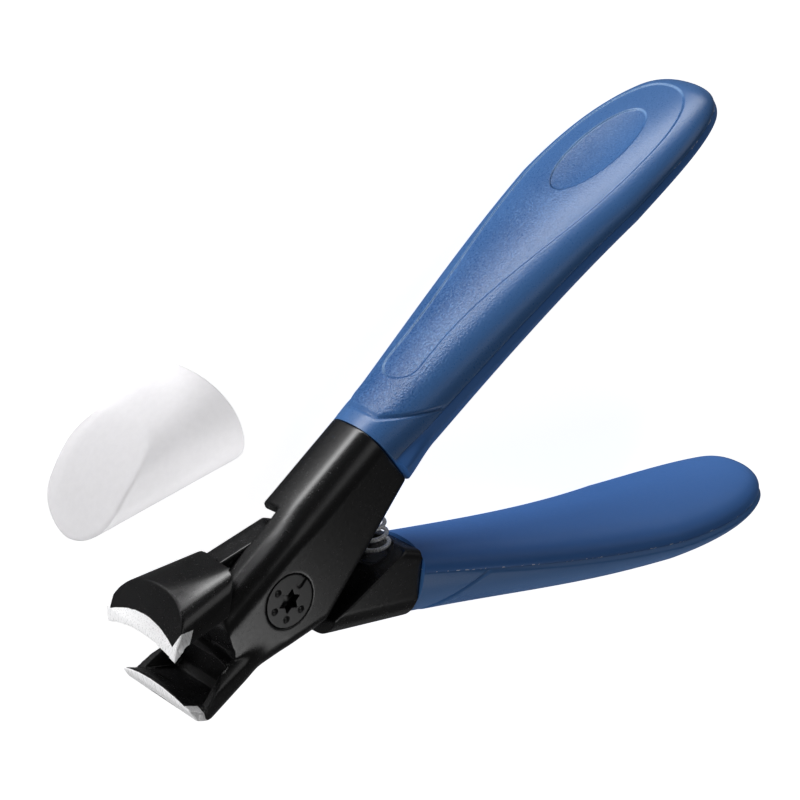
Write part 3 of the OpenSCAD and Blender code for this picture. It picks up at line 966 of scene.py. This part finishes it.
@dataclass(frozen=True)
class Loop:
    """Closed line on the back of a grip, inside its outline, in millimetres."""

    start: float = 38.4
    end: float = 112.4
    narrow: float = 3.7
    wide: float = 9.8
    swell_from: float = 46.0
    swell_to: float = 90.0
    end_square: float = 2.4
    batch: int = 20

    def half_width(self, s: Array) -> Array:
        """Half of the loop's width.

        Args:
            s: places along the handle.

        Returns:
            The half width at each place.
        """
        body = self.narrow + (self.wide - self.narrow) * ease(s, self.swell_from, self.swell_to)
        low = np.clip((self.start + self.narrow - s) / self.narrow, 0.0, 1.0)
        high = np.clip((s - self.swell_to) / (self.end - self.swell_to), 0.0, 1.0)
        return body * np.sqrt(1.0 - low**2) * (1.0 - high**self.end_square) ** (1.0 / self.end_square)

    def depth(self, along: Array, aside: Array) -> Array:
        """Distance of points inside the line, below 0 outside.

        Args:
            along: places along the handle.
            aside: places across it.

        Returns:
            The distance of each point.
        """
        bend = np.linspace(0.0, math.pi, 260)
        s = (self.start + self.end) / 2.0 - (self.end - self.start) / 2.0 * np.cos(bend)
        w = self.half_width(s)
        line = np.concatenate([np.stack([s, w], 1), np.stack([s, -w], 1)])
        best = np.full(len(along), 1e9)
        for first in range(0, len(line), self.batch):
            piece = line[first:first + self.batch]
            gaps = np.hypot(along[:, None] - piece[None, :, 0], aside[:, None] - piece[None, :, 1])
            best = np.minimum(best, gaps.min(axis=1))
        inside = (along > self.start) & (along < self.end) & (np.abs(aside) < self.half_width(along))
        return np.where(inside, best, -best)


@dataclass(frozen=True)
class Dish:
    """Shallow thumb dish near a grip's tip, in millimetres."""

    at: tuple[float, float] = (93.5, 0.5)
    reach: tuple[float, float] = (11.2, 5.1)
    deep: float = 1.0
    fullness: float = 2.2

    def _share(self, along: Array, aside: Array) -> Array:
        """Distance from the middle as a share of the rim's."""
        return np.hypot((along - self.at[0]) / self.reach[0], (aside - self.at[1]) / self.reach[1])

    def depth(self, along: Array, aside: Array) -> Array:
        """Distance inside the rim, below 0 outside.

        Args:
            along: places along the handle.
            aside: places across it.

        Returns:
            The distance of each point.
        """
        share = self._share(along, aside)
        away = np.hypot(along - self.at[0], aside - self.at[1])
        return away * (1.0 - share) / np.maximum(share, 0.05)

    def bowl(self, along: Array, aside: Array) -> Array:
        """Height of the bowl."""
        return -self.deep * (1.0 - np.clip(self._share(along, aside), 0.0, 1.0) ** self.fullness)


@dataclass
class Lever:
    """One forged lever, softened from its solid, with its bright ground faces."""

    node: str
    body: str
    side: Side
    finish: CoatedSteel
    slot: str = "black_steel"
    cut: float = 30.5
    skin: float = 0.196
    rounds: int = 9
    seat: float = 4.63
    crown: float = 0.9
    flank_at: float = -6.5
    flank_rounds: int = 140
    tang_size: Place = (53.4, 3.6, 7.6)
    tang_at: Place = (57.3, 2.6, 0.0)

    def build(self) -> Thing:
        """Copies the solid, gives it an even skin and softens all but the cutting edge.

        Returns:
            The lever.
        """
        lever = Bench.copy_node(self.node, self.node + "_body")
        at = self.side.to_frame(np.array([[self.cut, 0.0, 0.0]]))[0]
        way = self.side.to_frame(np.array([[self.cut + 1.0, 0.0, 0.0]]))[0] - at
        bpy.ops.object.mode_set(mode="EDIT")
        bpy.ops.mesh.select_all(action="SELECT")
        bpy.ops.mesh.bisect(
            plane_co=Vector(at), plane_no=Vector(way), use_fill=True, clear_outer=True, threshold=1e-8
        )
        bpy.ops.object.mode_set(mode="OBJECT")
        Bench.modify(lever, "REMESH", mode="VOXEL", voxel_size=self.skin * MM)
        Bench.soften(lever, "soft", self._softness(Bench.points(lever) / MM), self.rounds)
        if self.side is Side.UPPER:
            weights = np.round(self._flank(Bench.points(lever) / MM), 1)
            Bench.soften(lever, "flank", weights, self.flank_rounds)
        Bench.place(lever, Bench.points(lever) + self._crown(Bench.points(lever) / MM) * MM)
        tang = self._tang()
        Bench.pick(lever)
        tang.select_set(True)
        bpy.ops.object.join()
        Bench.smooth(lever, 60.0)
        return lever

    def _jaw_place(self, points: Array) -> tuple[Array, Array]:
        """Places of points on the jaw.

        Args:
            points: the lever's points, in millimetres.

        Returns:
            Height over the cutting edge away from the mouth, and depth behind it.
        """
        aside = np.abs(points[:, 2] - HALF_T)
        sign = -self.side.value
        edge = sign * JAW_EDGE[1] + JAW_BOW * (1.0 - np.clip(aside / JAW_HALF, 0.0, 1.0) ** 2)
        return sign * (points[:, 1] - edge), points[:, 0] - JAW_EDGE[0]

    def _softness(self, points: Array) -> Array:
        """How much each point may be smoothed: least at the cutting edge.

        Args:
            points: the lever's points, in millimetres.

        Returns:
            A weight from 0 to 1 for each.
        """
        height, depth = self._jaw_place(points)
        near_edge = (depth < 1.2) & (height < 1.0)
        near_seat = np.abs(np.hypot(points[:, 0], points[:, 1]) - self.seat) < 0.5
        return np.where(near_edge | near_seat, 0.4, 1.0)

    def _flank(self, points: Array) -> Array:
        """Where the arm runs into the jaw's side and is blended into it.

        Args:
            points: the lever's points, in millimetres.

        Returns:
            A weight from 0 to 1 for each.
        """
        near = 1.0 - ease(np.abs(points[:, 0] - self.flank_at), 2.5, 5.0)
        outer = ease(np.abs(points[:, 2] - HALF_T), 3.2, 4.6)
        clear = ease(np.hypot(points[:, 0], points[:, 1]), self.seat + 0.6, self.seat + 2.2)
        return near * outer * clear

    def _crown(self, points: Array) -> Array:
        """Rounds the back of the neck across its width.

        Args:
            points: the lever's points, in millimetres.

        Returns:
            The shift of each point, in millimetres.
        """
        sign = self.side.value
        along = points[:, 0] * math.cos(HANDLE_ANGLE) + sign * points[:, 1] * math.sin(HANDLE_ANGLE)
        across = sign * points[:, 1] * math.cos(HANDLE_ANGLE) - points[:, 0] * math.sin(HANDLE_ANGLE)
        where = ease(across, 3.0, 6.0) * ease(along, 6.0, 13.0)
        rise = self.crown * (0.4 - ((points[:, 2] - HALF_T) / HALF_T) ** 2) * where
        out = np.array([-math.sin(HANDLE_ANGLE), sign * math.cos(HANDLE_ANGLE), 0.0])
        return rise[:, None] * out

    def _tang(self) -> Thing:
        """Models the flat tang that the grip hides.

        Returns:
            The tang.
        """
        Bench.clear()
        bpy.ops.mesh.primitive_cube_add(size=1.0)
        tang = Bench.name_active(self.node + "_tang")
        Bench.place(tang, Bench.points(tang) * np.array(self.tang_size) + np.array(self.tang_at))
        Bench.modify(tang, "BEVEL", width=0.4, segments=2)
        Bench.place(tang, self.side.to_frame(Bench.points(tang)))
        Bench.face_out(tang)
        return tang

    def dress(self, lever: Thing) -> None:
        """Gives the lever its coat and its place in the frame.

        Args:
            lever: the lever.
        """
        Bench.wear(lever, self.finish.material())
        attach(lever, self.body)
        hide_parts(self.node)


@dataclass
class Pivot:
    """The pivot screw and its sleeve nut, softened from their solids."""

    finish: CoatedSteel
    nodes: tuple[str, str] = ("pivot_screw", "pivot_nut")
    body: str = "rear"
    slot: str = "black_screw"
    skin: float = 0.08
    rounds: int = 4

    def build(self) -> list[Thing]:
        """Copies both solids and breaks their edges.

        Returns:
            The screw and the nut.
        """
        pieces = []
        for node in self.nodes:
            piece = Bench.copy_node(node, node + "_turned")
            Bench.modify(piece, "REMESH", mode="VOXEL", voxel_size=self.skin * MM)
            Bench.modify(piece, "SMOOTH", factor=0.5, iterations=self.rounds)
            Bench.smooth(piece, 60.0)
            pieces.append(piece)
        return pieces

    def dress(self, pieces: list[Thing]) -> None:
        """Gives both pieces their black finish and their place in the frame.

        Args:
            pieces: the screw and the nut.
        """
        material = self.finish.material()
        for piece, node in zip(pieces, self.nodes):
            Bench.wear(piece, material)
            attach(piece, self.body)
            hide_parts(node)


@dataclass
class Spring:
    """The return spring: one wire, straight at both ends and wound between them."""

    finish: BrightWire
    at: tuple[float, float] = (22.0, 6.2)
    coil: float = 2.625
    wire: float = 0.375
    turns: int = 5
    floor: float = 6.6
    per_turn: int = 40

    def build(self) -> Thing:
        """Draws the wire's path as a curve and gives it its thickness.

        Returns:
            The spring.
        """
        count = self.turns * self.per_turn
        end = self.floor - 4.0 * self.wire
        turn = np.linspace(0.0, 2.0 * math.pi * self.turns, count + 1)
        rise = np.linspace(-end, end, count + 1)
        helix = np.stack([self.at[0] + self.coil * np.cos(turn), rise, self.at[1] + self.coil * np.sin(turn)], 1)
        tails = [-self.floor, -self.floor + 2.0 * self.wire]
        first = [[helix[0, 0], y, helix[0, 2]] for y in tails]
        last = [[helix[-1, 0], -y, helix[-1, 2]] for y in reversed(tails)]
        path = np.concatenate([first, helix, last]) * MM
        Bench.clear()
        bpy.ops.curve.primitive_nurbs_path_add()
        curve = Bench.name_active("return_spring_wire")
        curve.data.splines.clear()
        spline = curve.data.splines.new("POLY")
        spline.points.add(len(path) - 1)
        spline.points.foreach_set("co", np.concatenate([path, np.ones((len(path), 1))], 1).ravel())
        curve.data.dimensions = "3D"
        curve.data.bevel_depth = self.wire * MM
        curve.data.bevel_resolution = 4
        curve.data.use_fill_caps = True
        Bench.pick(curve)
        bpy.ops.object.convert(target="MESH")
        spring = Bench.name_active("return_spring_wire")
        Bench.face_out(spring)
        Bench.smooth(spring, 45.0)
        return spring

    def dress(self, spring: Thing) -> None:
        """Gives the spring its wire finish, bakes its place into its mesh and hides its solid.

        Args:
            spring: the spring.
        """
        Bench.wear(spring, self.finish.material())
        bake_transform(spring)
        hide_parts("return_spring")


@dataclass
class Cap:
    """The loose blade cap: a thin tapered shell with a sloping front."""

    finish: MilkyPlastic
    length: float = 27.0
    width: float = 11.5
    width_end: float = 8.4
    height: float = 15.4
    drop: float = 5.6
    nose_length: float = 10.0
    nose_radius: float = 40.0
    square: float = 2.2
    square_top: float = 5.0
    square_low: float = 1.8
    wall: float = 1.2
    place: Place = (-2.6, 27.2, 4.6)
    half_run: float = 0.49
    rim_run: float = 0.02
    lid_run: float = 0.25

    def _nose(self) -> tuple[float, float]:
        """Centre of the big round of the sloping front.

        Returns:
            Its x and y.
        """
        tip = Vector((-self.length, 0.0))
        crest = Vector((self.nose_length - self.length, self.height - self.drop))
        reach = (crest - tip).length / 2.0
        along = (crest - tip) / (2.0 * reach)
        centre = (tip + crest) / 2.0 + math.sqrt(self.nose_radius**2 - reach**2) * Vector((along.y, -along.x))
        return centre.x, centre.y

    def _front(self, y: Array, inset: Array) -> Array:
        """Where the sloping front lies at each height."""
        cx, cy = self._nose()
        return cx - np.sqrt((self.nose_radius - inset) ** 2 - (y - cy) ** 2)

    def _wall(self, t: Array, a: Array, inset: Array) -> Array:
        """Points of the wall.

        Args:
            t: from 0 at the mouth to 1 at the tip.
            a: the turn round the section, from the top.
            inset: depth under the outside.

        Returns:
            Rows of x, y and z.
        """
        target = np.where(np.cos(a) > 0.0, self.square_top, self.square_low)
        power = 2.0 / (self.square + (target - self.square) * t)
        half = (self.height - self.drop * t) / 2.0
        y = half + (half - inset) * signed_power(np.cos(a), power)
        z = (self.width + (self.width_end - self.width) * t - inset) * signed_power(np.sin(a), power)
        return np.stack([-self.length * t, y, z], axis=1)

    def _end(self, a: Array, inset: Array) -> Array:
        """Finds how far along the wall meets the sloping front, by halving.

        Args:
            a: the turn round the section, from the top.
            inset: depth under the outside.

        Returns:
            The share of the length for each turn.
        """
        low, high = np.zeros(len(a)), np.ones(len(a))
        for _ in range(30):
            mid = (low + high) / 2.0
            p = self._wall(mid, a, inset)
            clear = p[:, 0] > self._front(p[:, 1], inset)
            low, high = np.where(clear, mid, low), np.where(clear, high, mid)
        return low

    def build(self) -> Thing:
        """Shapes a ball into the cap: front, outside, rim, inside and inner front.

        Returns:
            The cap.
        """
        Bench.clear()
        bpy.ops.mesh.primitive_uv_sphere_add(segments=144, ring_count=120, radius=1.0)
        cap = Bench.name_active("blade_cap_shell")
        unit = Bench.points(cap)
        run = np.arccos(np.clip(unit[:, 2], -1.0, 1.0)) / math.pi
        turn = np.arctan2(unit[:, 1], unit[:, 0])
        rim = np.clip((run - self.half_run) / self.rim_run, 0.0, 1.0)
        inset = self.wall * rim
        outward = np.where(run < 0.5, run / self.half_run, (1.0 - run) / self.half_run)
        wall_way = np.clip((outward - self.lid_run) / (1.0 - self.lid_run), 0.0, 1.0)
        end = self._end(turn, inset)
        points = self._wall(end * (1.0 - wall_way), turn, inset)
        points[:, 0] += 0.5 * self.wall * np.sin(math.pi * rim) * (wall_way > 0.99)
        inward = np.clip(outward / self.lid_run, 0.0, 1.0)
        poles, flush = np.array([0.0, math.pi]), np.zeros(2)
        centre_y = self._wall(self._end(poles, flush), poles, flush)[:, 1].mean()
        y = centre_y + (points[:, 1] - centre_y) * inward
        front = self._front(y, inset)
        lid = outward < self.lid_run
        points[:, 0] = np.where(lid, front, points[:, 0])
        points[:, 1] = np.where(lid, y, points[:, 1])
        points[:, 2] = np.where(lid, points[:, 2] * inward, points[:, 2])
        Bench.place(cap, (points + np.array(self.place)) * MM)
        Bench.face_out(cap)
        Bench.modify(cap, "SMOOTH", factor=0.5, iterations=3)
        Bench.smooth(cap, 60.0)
        return cap

    def dress(self, cap: Thing) -> None:
        """Gives the cap its plastic and its place in the frame.

        Args:
            cap: the cap.
        """
        Bench.wear(cap, self.finish.material())
        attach(cap, "cap")
        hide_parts("blade_cap")


@dataclass(frozen=True)
class SoftBox:
    """One soft box: its direction from the object, distance and size in metres, power in watts, and if it mirrors."""

    name: str
    toward: Place
    distance: float
    size: tuple[float, float]
    power: float
    mirrors: bool = True


@dataclass
class Studio:
    """Floor, light and camera."""

    floor_z: float = -7.3
    middle: Place = (0.035, 0.0, 0.005)
    camera_at: Place = (-0.14015, 0.19767, 0.25188)
    right: Place = (0.7355, -0.1813, 0.6528)
    up: Place = (0.4626, 0.8384, -0.2883)
    back: Place = (-0.4951, 0.5140, 0.7005)
    lens: float = 96.36
    glow: float = 0.65
    camera_glow: float = 0.22
    patch_glow: float = 6.4
    room: float = 0.04
    boxes: tuple[SoftBox, ...] = (
        SoftBox("rear_box", (0.0, 0.95, 0.1), 0.6, (0.75, 0.1), 0.85, mirrors=False),
        SoftBox("front_box", (0.3, -0.9, 0.2), 0.6, (0.5, 0.3), 1.3, mirrors=False),
        SoftBox("left_box", (-0.98, 0.1, 0.05), 0.6, (0.3, 0.2), 1.5, mirrors=False),
        SoftBox("table_box", (-0.1, 0.93, -0.4), 0.6, (0.6, 0.3), 3.2),
        SoftBox("near_box", (0.025, -0.155, 0.195), 0.25, (0.08, 0.08), 0.042),
        SoftBox("jaw_box", (0.133, 0.443, 0.887), 0.255, (0.1, 0.1), 0.018),
        SoftBox("right_box", (0.72, 0.3, 0.62), 0.5, (0.25, 0.25), 0.12),
    )
    cap_box: SoftBox = SoftBox("cap_box", (0.2, -0.3, 0.93), 0.5, (0.4, 0.4), 4.2)

    def floor(self) -> None:
        """Lays a glowing floor: white to the camera, a patch behind the object to glossy rays.

        It casts no shadow, so that the box under it shines through.
        """
        Bench.clear()
        bpy.ops.mesh.primitive_plane_add(size=6.0, location=(0.0, 0.0, self.floor_z * MM - 0.0002))
        floor = Bench.name_active("studio_floor")
        material, kit, output = new_material("pale_floor")
        path = kit.add("ShaderNodeLightPath")
        mirror = path.outputs["Is Glossy Ray"]
        pale = kit.blend(mirror, rgba(245, 245, 246), rgba(150, 150, 151))
        diffuse = kit.add("ShaderNodeBsdfDiffuse", Color=pale)
        glow = kit.add("ShaderNodeEmission", Color=(1.0, 1.0, 1.0, 1.0))
        seen = kit.math("MAXIMUM", path.outputs["Is Camera Ray"], path.outputs["Is Transmission Ray"])
        split = kit.add("ShaderNodeSeparateXYZ", Vector=kit.add("ShaderNodeTexCoord").outputs["Object"])
        past = kit.math("SUBTRACT", split.outputs["Y"], kit.math("MULTIPLY", split.outputs["X"], 0.4))
        behind = kit.math("MULTIPLY", kit.span(split.outputs["X"], -0.03, 0.0), kit.span(past, 0.024, 0.06))
        mirrored = kit.math("SUBTRACT", kit.math("MULTIPLY", behind, self.patch_glow), self.glow)
        strength = kit.math("ADD", kit.math("MULTIPLY", seen, self.camera_glow), self.glow)
        kit.feed(glow, "Strength", kit.math("ADD", strength, kit.math("MULTIPLY", mirror, mirrored)))
        both = kit.add("ShaderNodeAddShader")
        kit.feed(both, 0, diffuse.outputs[0])
        kit.feed(both, 1, glow.outputs[0])
        kit.feed(output, "Surface", both.outputs[0])
        Bench.wear(floor, material)
        floor.visible_shadow = False

    def lamp(self, box: SoftBox) -> Thing:
        """Hangs one soft box that faces the object.

        Args:
            box: the box.

        Returns:
            Its lamp.
        """
        aim = Vector(box.toward).normalized()
        bpy.ops.object.light_add(type="AREA", location=Vector(self.middle) + aim * box.distance)
        lamp = bpy.context.active_object
        lamp.name = box.name
        lamp.rotation_euler = aim.to_track_quat("Z", "Y").to_euler()
        lamp.data.shape = "RECTANGLE"
        lamp.data.size, lamp.data.size_y = box.size
        lamp.data.energy = box.power
        lamp.visible_glossy = box.mirrors
        return lamp

    def cap_fill(self, cap: Thing) -> None:
        """Hangs a soft box over the loose cap that lights nothing else.

        Args:
            cap: the cap.
        """
        fill = self.lamp(self.cap_box)
        alone = bpy.data.collections.new("cap_alone")
        alone.objects.link(cap)
        fill.light_linking.receiver_collection = alone

    def light(self) -> None:
        """Hangs the soft boxes and sets a dim world that the camera sees as white."""
        for box in self.boxes:
            self.lamp(box)
        world = bpy.data.worlds.new("pale_room")
        bpy.context.scene.world = world
        world.use_nodes = True
        world.node_tree.nodes.clear()
        kit = NodeKit(world.node_tree)
        output = kit.add("ShaderNodeOutputWorld")
        path = kit.add("ShaderNodeLightPath")
        shade = kit.add("ShaderNodeBackground", Color=(1.0, 1.0, 1.0, 1.0))
        kit.feed(shade, "Strength", kit.math("MAXIMUM", path.outputs["Is Camera Ray"], self.room))
        kit.feed(output, "Surface", shade.outputs[0])

    def camera(self) -> None:
        """Sets the camera at the photograph's viewing angle."""
        bpy.ops.object.camera_add()
        camera = bpy.context.active_object
        camera.name = "photo_camera"
        turn = Matrix((self.right, self.up, self.back)).transposed()
        camera.matrix_world = Matrix.Translation(self.camera_at) @ turn.to_4x4()
        camera.data.sensor_width = 36.0
        camera.data.lens = self.lens
        camera.data.clip_start = 0.01
        bpy.context.scene.camera = camera

    def set_up(self) -> None:
        """Builds the whole studio."""
        self.camera()
        self.light()
        self.floor()
        bpy.context.scene.view_settings.view_transform = "Standard"


def make(part: Lever | GripShell | Spring | Cap) -> Thing:
    """Builds and dresses one sub-assembly, and reports its piece.

    Args:
        part: the sub-assembly.

    Returns:
        The piece.
    """
    piece = part.build()
    part.dress(piece)
    LOG.info("%s: %d faces", piece.name, len(piece.data.polygons))
    return piece


def main() -> None:
    """Builds every sub-assembly in order and reports each piece."""
    logging.basicConfig(level=logging.INFO, format="%(name)s: %(message)s")
    studio = Studio()
    studio.set_up()
    # The near-white steel colour of the ground faces is partly a painted reflection on bare steel.
    upper_coat = CoatedSteel(
        "black_coat_upper", rgba(14, 14, 15), rgba(17, 17, 18), rgba(243, 243, 244),
        roughness=0.25, ground_roughness=0.26, jaw=Jaw.UPPER,
    )
    lower_coat = replace(upper_coat, name="black_coat_lower", jaw=Jaw.LOWER, strip=3.3)
    screw_coat = replace(
        upper_coat, name="black_oxide", coat=rgba(13, 13, 14), worn=rgba(22, 22, 23), roughness=0.32, jaw=Jaw.NONE
    )
    # The grained blue carries painted glints in its light specks.
    grained = GripPlastic(
        "blue_grained", rgba(38, 77, 129), rgba(88, 131, 184), roughness=0.3, density=3000.0, bump=0.15, painted_glint=0.14,
        flash=0.12, gloss=0.56, step=0.16, accent=0.5,
    )
    # A lighter copy of the grained blue for the lower grip's outer shell: painted light that this side does not get
    # from the lamps.
    grained_lighter_copy = replace(
        grained, name="blue_grained_lighter_copy", color=rgba(46, 90, 148), light=rgba(96, 141, 194), roughness=0.34, gloss=0.4
    )
    plain = GripPlastic(
        "blue_plain", rgba(58, 103, 166), rgba(62, 108, 172), roughness=0.42, density=1500.0, bump=0.004, painted_glint=0.0,
        flash=0.2, gloss=0.35,
    )
    upper = {"sink": 0.45, "flash_from": 97.0}
    coarse = {"rings": 200, "segments": 112}
    parts = (
        Lever("front_lever", "front", Side.UPPER, lower_coat),
        Lever("rear_lever", "rear", Side.LOWER, upper_coat),
        GripShell("upper_grip_outer", "front", Side.UPPER, Half.OUTER, 0.0, grained, "blue_grain", lift=0.0, **upper),
        GripShell(
            "upper_grip_inner", "front", Side.UPPER, Half.INNER, 0.0, plain, "blue_smooth", fill=0.35, **upper, **coarse
        ),
        GripShell("lower_grip_outer", "rear", Side.LOWER, Half.OUTER, 2.6, grained_lighter_copy, "blue_grain"),
        GripShell("lower_grip_inner", "rear", Side.LOWER, Half.INNER, 2.6, plain, "blue_smooth", **coarse),
    )
    for part in parts:
        make(part)
    pivot = Pivot(screw_coat)
    pieces = pivot.build()
    pivot.dress(pieces)
    LOG.info("pivot: %s", [piece.name for piece in pieces])
    # The wire's near-white colour is partly a painted reflection on bright steel.
    make(Spring(BrightWire("bright_wire", rgba(226, 227, 229), 0.2)))
    cap = make(Cap(MilkyPlastic("milky_cap", rgba(218, 217, 219), rgba(222, 221, 223), 0.5)))
    studio.cap_fill(cap)


if __name__ == "__main__":
    main()
